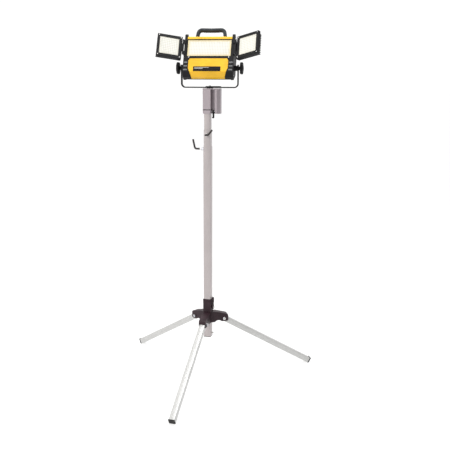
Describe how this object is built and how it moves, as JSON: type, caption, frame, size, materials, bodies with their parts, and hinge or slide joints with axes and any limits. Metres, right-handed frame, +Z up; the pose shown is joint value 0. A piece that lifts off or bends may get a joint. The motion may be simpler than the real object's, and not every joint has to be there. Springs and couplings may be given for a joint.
{
  "type": "tripod work light",
  "caption": "Work light with a main LED panel and folding side panels in a yoke, on a telescopic square mast with a folding tripod.",
  "frame": {"origin": "on the floor, at the middle of the footprint of the three feet", "axes": "+Z up along the mast, -Y the way the light and the front leg point, X across the light"},
  "size_m": [1.0608, 0.9186, 1.841],
  "materials": {
    "aluminium_tube": "satin extruded aluminium",
    "cast_aluminium": "plain cast aluminium",
    "zinc_steel": "zinc plated",
    "hub_black": "satin black powder coat",
    "painted_steel": "satin black paint",
    "black_plastic": "lightly textured",
    "charcoal_grip": "fine soft-touch texture",
    "yellow_plastic": "semi-gloss moulded",
    "rubber": "matte",
    "lens": "frosted diffuser, lit",
    "led_board": "white solder mask",
    "label": "blank gloss label"
  },
  "bodies": {
    "tripod_hub": {"hub_casting": "hub_black", "hub_clamp_bolt": "zinc_steel", "pivot_bolt_front": "zinc_steel", "pivot_bolt_right": "zinc_steel", "pivot_bolt_left": "zinc_steel", "pivot_nut_front": "zinc_steel", "pivot_nut_right": "zinc_steel", "pivot_nut_left": "zinc_steel"},
    "hub_lever": {"hub_lever": "hub_black"},
    "leg_front": {"leg_tube_front": "aluminium_tube", "foot_front": "rubber"},
    "leg_right": {"leg_tube_right": "aluminium_tube", "foot_right": "rubber"},
    "leg_left": {"leg_tube_left": "aluminium_tube", "foot_left": "rubber"},
    "mast_base": {"mast_base_tube": "aluminium_tube", "mast_base_plug": "black_plastic", "mast_stop_screw": "zinc_steel", "base_clamp_boss": "zinc_steel"},
    "base_clamp": {"base_clamp_handle": "zinc_steel"},
    "mast_middle": {"mast_middle_tube": "aluminium_tube", "middle_clamp_boss": "zinc_steel"},
    "middle_clamp": {"middle_clamp_handle": "zinc_steel"},
    "mast_top": {"mast_top_tube": "aluminium_tube", "adapter_body": "aluminium_tube", "adapter_plate": "aluminium_tube", "hook_pin": "zinc_steel"},
    "cable_hook": {"cable_hook": "black_plastic"},
    "yoke": {"yoke": "painted_steel", "yoke_washer": "rubber", "yoke_clamp_plate": "painted_steel", "yoke_bolt": "zinc_steel"},
    "head": {"rear_housing": "black_plastic", "front_shell": "yellow_plastic", "top_cover": "yellow_plastic", "panel_bezel": "black_plastic", "panel_lens": "lens", "panel_led_board": "led_board", "led_driver": "cast_aluminium", "end_cap_left": "black_plastic", "end_cap_right": "black_plastic", "carry_handle": "charcoal_grip", "label_plate": "label", "cable_gland": "black_plastic", "tilt_washer_left": "rubber", "tilt_washer_right": "rubber"},
    "knob_left": {"tilt_knob_left": "black_plastic"},
    "knob_right": {"tilt_knob_right": "black_plastic"},
    "wing_left": {"wing_bezel_left": "black_plastic", "wing_lens_left": "lens", "wing_board_left": "led_board", "wing_housing_left": "black_plastic", "hinge_pin_left": "zinc_steel"},
    "wing_right": {"wing_bezel_right": "black_plastic", "wing_lens_right": "lens", "wing_board_right": "led_board", "wing_housing_right": "black_plastic", "hinge_pin_right": "zinc_steel"},
    "power_button": {"power_button": "rubber"}
  },
  "joints": [
    {"name": "leg_fold_front", "type": "hinge", "parent": "tripod_hub", "child": "leg_front", "pos_m": [0, 0.05687, 0.3135], "axis": [1, 0, 0], "range_deg": [0, 59]},
    {"name": "leg_fold_right", "type": "hinge", "parent": "tripod_hub", "child": "leg_right", "pos_m": [0.07534, 0.18737, 0.3135], "axis": [-0.5, 0.866, 0], "range_deg": [0, 59]},
    {"name": "leg_fold_left", "type": "hinge", "parent": "tripod_hub", "child": "leg_left", "pos_m": [-0.07534, 0.18737, 0.3135], "axis": [-0.5, -0.866, 0], "range_deg": [0, 59]},
    {"name": "hub_lever_turn", "type": "hinge", "parent": "tripod_hub", "child": "hub_lever", "pos_m": [0.0253, 0.14387, 0.384], "axis": [1, 0, 0], "range_deg": [0, 110]},
    {"name": "mast_height", "type": "slide", "parent": "tripod_hub", "child": "mast_base", "axis": [0, 0, 1], "range_m": [-0.2, 0.055]},
    {"name": "base_clamp_turn", "type": "hinge", "parent": "mast_base", "child": "base_clamp", "pos_m": [-0.03, 0.14387, 1.2372], "axis": [1, 0, 0], "continuous": true},
    {"name": "middle_extend", "type": "slide", "parent": "mast_base", "child": "mast_middle", "axis": [0, 0, 1], "range_m": [-0.045, 0.8]},
    {"name": "middle_clamp_turn", "type": "hinge", "parent": "mast_middle", "child": "middle_clamp", "pos_m": [0, 0.11387, 1.3115], "axis": [0, 1, 0], "continuous": true},
    {"name": "top_extend", "type": "slide", "parent": "mast_middle", "child": "mast_top", "axis": [0, 0, 1], "range_m": [-0.075, 0.8]},
    {"name": "hook_swing", "type": "hinge", "parent": "mast_top", "child": "cable_hook", "pos_m": [0.03225, 0.13487, 1.43], "axis": [1, 0, 0], "range_deg": [-90, 8]},
    {"name": "yoke_pan", "type": "hinge", "parent": "mast_top", "child": "yoke", "pos_m": [0.011, 0.14387, 1.642], "axis": [0, 0, 1], "range_deg": [-175, 175]},
    {"name": "head_tilt", "type": "hinge", "parent": "yoke", "child": "head", "pos_m": [0.011, 0.14387, 1.642], "axis": [0.9903, 0.1392, 0], "range_deg": [-62, 88]},
    {"name": "knob_turn_left", "type": "hinge", "parent": "head", "child": "knob_left", "pos_m": [-0.14546, 0.12188, 1.642], "axis": [0.9903, 0.1392, 0], "continuous": true},
    {"name": "knob_turn_right", "type": "hinge", "parent": "head", "child": "knob_right", "pos_m": [0.16746, 0.16586, 1.642], "axis": [0.9903, 0.1392, 0], "continuous": true},
    {"name": "wing_swing_left", "type": "hinge", "parent": "head", "child": "wing_left", "pos_m": [-0.1156, 0.10337, 1.74456], "axis": [-0.0653, 0.4649, 0.8829], "range_deg": [-18, 160]},
    {"name": "wing_swing_right", "type": "hinge", "parent": "head", "child": "wing_right", "pos_m": [0.14385, 0.13983, 1.74456], "axis": [-0.0653, 0.4649, 0.8829], "range_deg": [-150, 28]},
    {"name": "power_push", "type": "slide", "parent": "head", "child": "power_button", "axis": [0.1229, -0.8744, 0.4695], "range_m": [0, 0.0025], "stiffness_N_per_m": 400}
  ]
}
